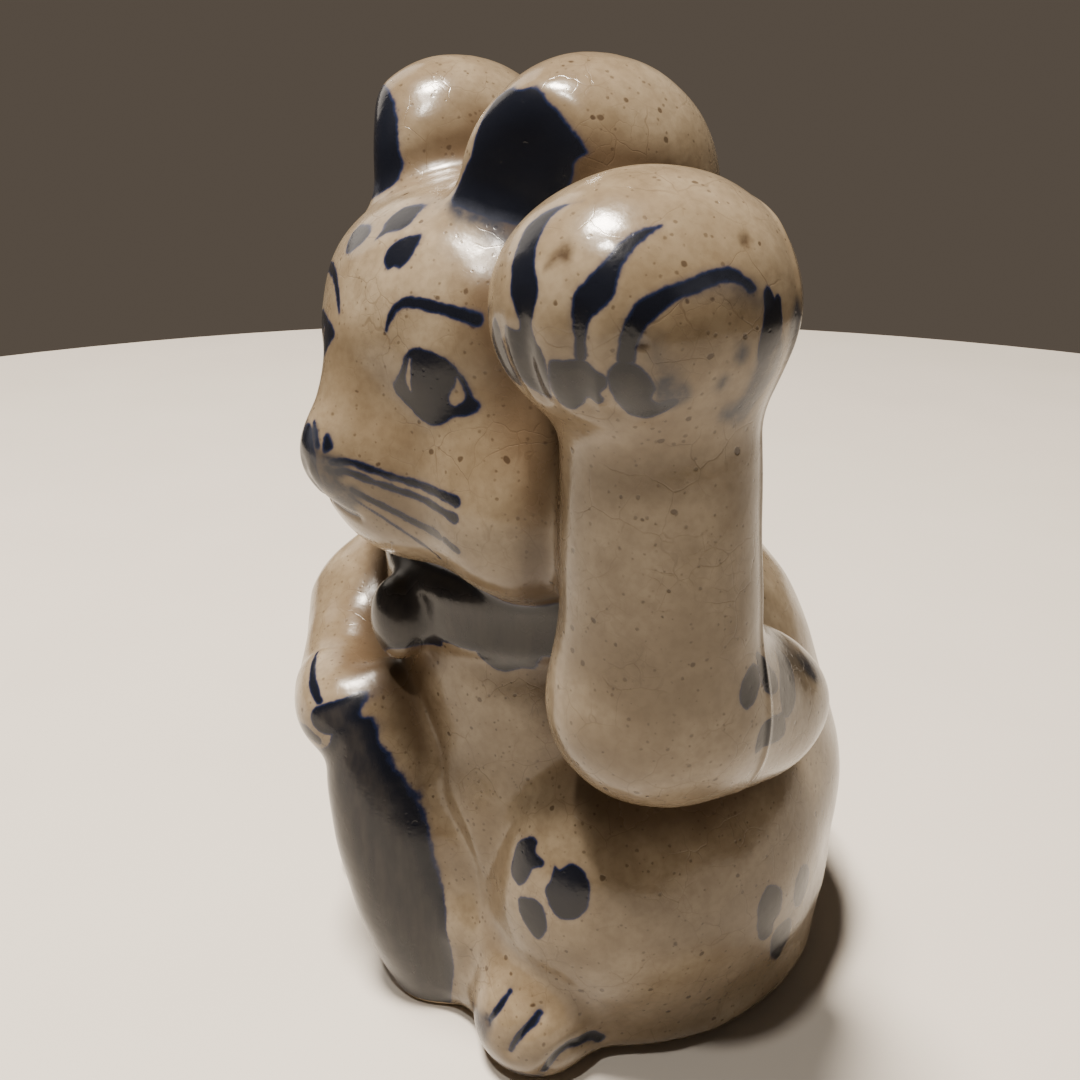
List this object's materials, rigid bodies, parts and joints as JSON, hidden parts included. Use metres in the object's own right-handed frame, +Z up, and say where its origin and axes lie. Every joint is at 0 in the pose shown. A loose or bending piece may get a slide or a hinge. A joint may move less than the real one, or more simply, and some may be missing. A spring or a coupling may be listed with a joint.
{
  "type": "beckoning cat figurine",
  "caption": "Seated beckoning cat figurine in blue-and-white crackle-glazed stoneware, left paw raised beside its ear, right paw resting on a tall oval coin.",
  "frame": {"origin": "on the underside of the base slab, in the plane the figurine rests on, on the body's upright axis", "axes": "+Z up towards the ears, -Y the way the cat faces, +X the cat's left side, with the raised paw"},
  "size_m": [0.1076, 0.0993, 0.1499],
  "materials": {
    "crackle_glaze": "glossy, fine crazing",
    "cobalt_glaze": "glossy, brushed cobalt under the glaze",
    "bare_clay": "matt, unglazed"
  },
  "bodies": {
    "root": {"torso_front": "crackle_glaze", "torso_back": "crackle_glaze", "head_front": "crackle_glaze", "head_back": "crackle_glaze", "left_ear": "crackle_glaze", "right_ear": "crackle_glaze", "raised_arm_front": "crackle_glaze", "raised_arm_back": "crackle_glaze", "raised_paw_front": "crackle_glaze", "raised_paw_back": "crackle_glaze", "resting_arm": "crackle_glaze", "resting_paw": "crackle_glaze", "koban": "cobalt_glaze", "collar": "cobalt_glaze", "bell": "cobalt_glaze", "left_haunch": "crackle_glaze", "right_haunch": "crackle_glaze", "left_foot": "crackle_glaze", "right_foot": "crackle_glaze", "tail": "crackle_glaze", "base_slab": "bare_clay"}
  },
  "joints": []
}
